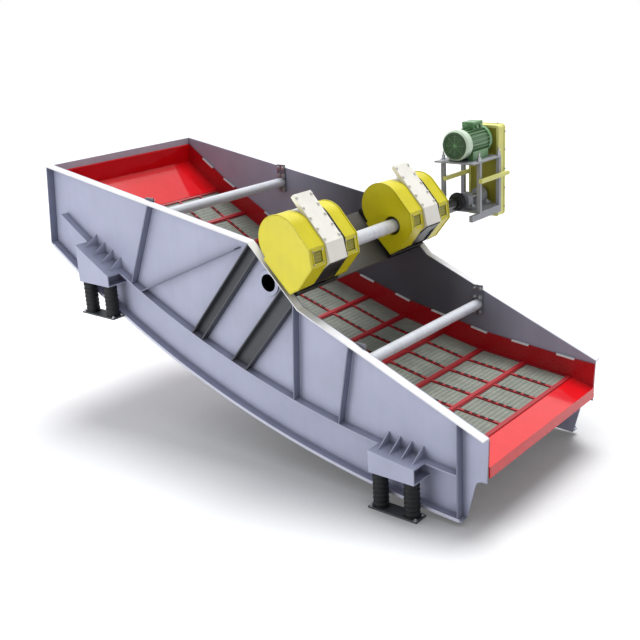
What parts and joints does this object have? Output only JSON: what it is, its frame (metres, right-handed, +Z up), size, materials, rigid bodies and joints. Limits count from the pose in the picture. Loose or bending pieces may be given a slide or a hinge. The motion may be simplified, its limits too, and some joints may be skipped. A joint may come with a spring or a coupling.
{
  "type": "vibrating screen",
  "caption": "Single-deck banana vibrating screen on corner springs, with red deck panels, twin gear exciters under yellow guards and a belt drive on its own stand.",
  "frame": {"origin": "underside of the right discharge spring base plate, at the plate's centre", "axes": "+X with the material flow to the discharge end, +Y to the drive side, +Z up"},
  "size_m": [6.6546, 4.405, 3.546],
  "materials": {
    "grey_paint": "satin grey paint",
    "white_paint": "satin white paint",
    "dark_paint": "dark grey paint",
    "black_paint": "black paint",
    "red_liner": "moulded red polyurethane",
    "mesh": "grey moulded screening mesh",
    "tube": "silver paint",
    "yellow_paint": "gloss yellow paint",
    "olive_paint": "yellow paint",
    "steel": "machined steel",
    "black_rubber": "black rubber",
    "green_paint": "green paint"
  },
  "bodies": {
    "base": {"feed_springs": "black_rubber", "discharge_springs": "black_rubber", "feed_base_right": "dark_paint", "feed_base_left": "dark_paint", "discharge_base_right": "dark_paint", "discharge_base_left": "dark_paint", "drive_stand": "grey_paint", "guard_rails": "olive_paint", "bearing_blocks": "grey_paint", "belt_guard": "olive_paint", "motor": "green_paint"},
    "screen_box": {"side_plate_right": "grey_paint", "side_plate_left": "grey_paint", "top_flange_right": "white_paint", "top_flange_left": "white_paint", "girder_flanges_right": "grey_paint", "girder_flanges_left": "grey_paint", "stiffeners_right": "grey_paint", "stiffeners_left": "grey_paint", "exciter_channels_right": "dark_paint", "exciter_channels_left": "dark_paint", "feed_bracket_right": "grey_paint", "feed_bracket_left": "grey_paint", "discharge_bracket_right": "grey_paint", "discharge_bracket_left": "grey_paint", "back_plate": "grey_paint", "feed_liner": "red_liner", "side_liner_right": "red_liner", "side_liner_left": "red_liner", "deck_tubes": "grey_paint", "deck_rails": "grey_paint", "deck_mesh": "mesh", "deck_frames": "red_liner", "discharge_lip": "red_liner", "feed_tie_tube": "tube", "discharge_tie_tube": "tube", "exciter_bridge": "grey_paint", "exciter_seat_right": "black_paint", "exciter_seat_left": "black_paint", "exciter_housing_right": "white_paint", "exciter_housing_left": "white_paint", "outer_guard_right": "yellow_paint", "inner_guard_right": "yellow_paint", "inner_guard_left": "yellow_paint", "outer_guard_left": "yellow_paint"},
    "line_shaft": {"link_shaft": "steel", "drive_shaft": "black_paint"},
    "jackshaft": {"jackshaft": "steel", "tyre_coupling": "black_rubber"}
  },
  "joints": [
    {"name": "vibration", "type": "slide", "parent": "base", "child": "screen_box", "axis": [0.7071, 0, 0.7071], "range_m": [-0.005, 0.005], "stiffness_N_per_m": 2000000, "springref_m": 0.03226, "deforming": ["feed_springs", "discharge_springs", "tyre_coupling"]},
    {"name": "exciter_spin", "type": "hinge", "parent": "screen_box", "child": "line_shaft", "pos_m": [-1.35747, 1.44, 2.53901], "axis": [0, 1, 0], "continuous": true},
    {"name": "jackshaft_spin", "type": "hinge", "parent": "base", "child": "jackshaft", "pos_m": [-1.35747, 3.74, 2.53901], "axis": [0, 1, 0], "continuous": true}
  ],
  "couplings": [
    {"joint": "exciter_spin", "follows": "jackshaft_spin", "ratio": 1}
  ]
}
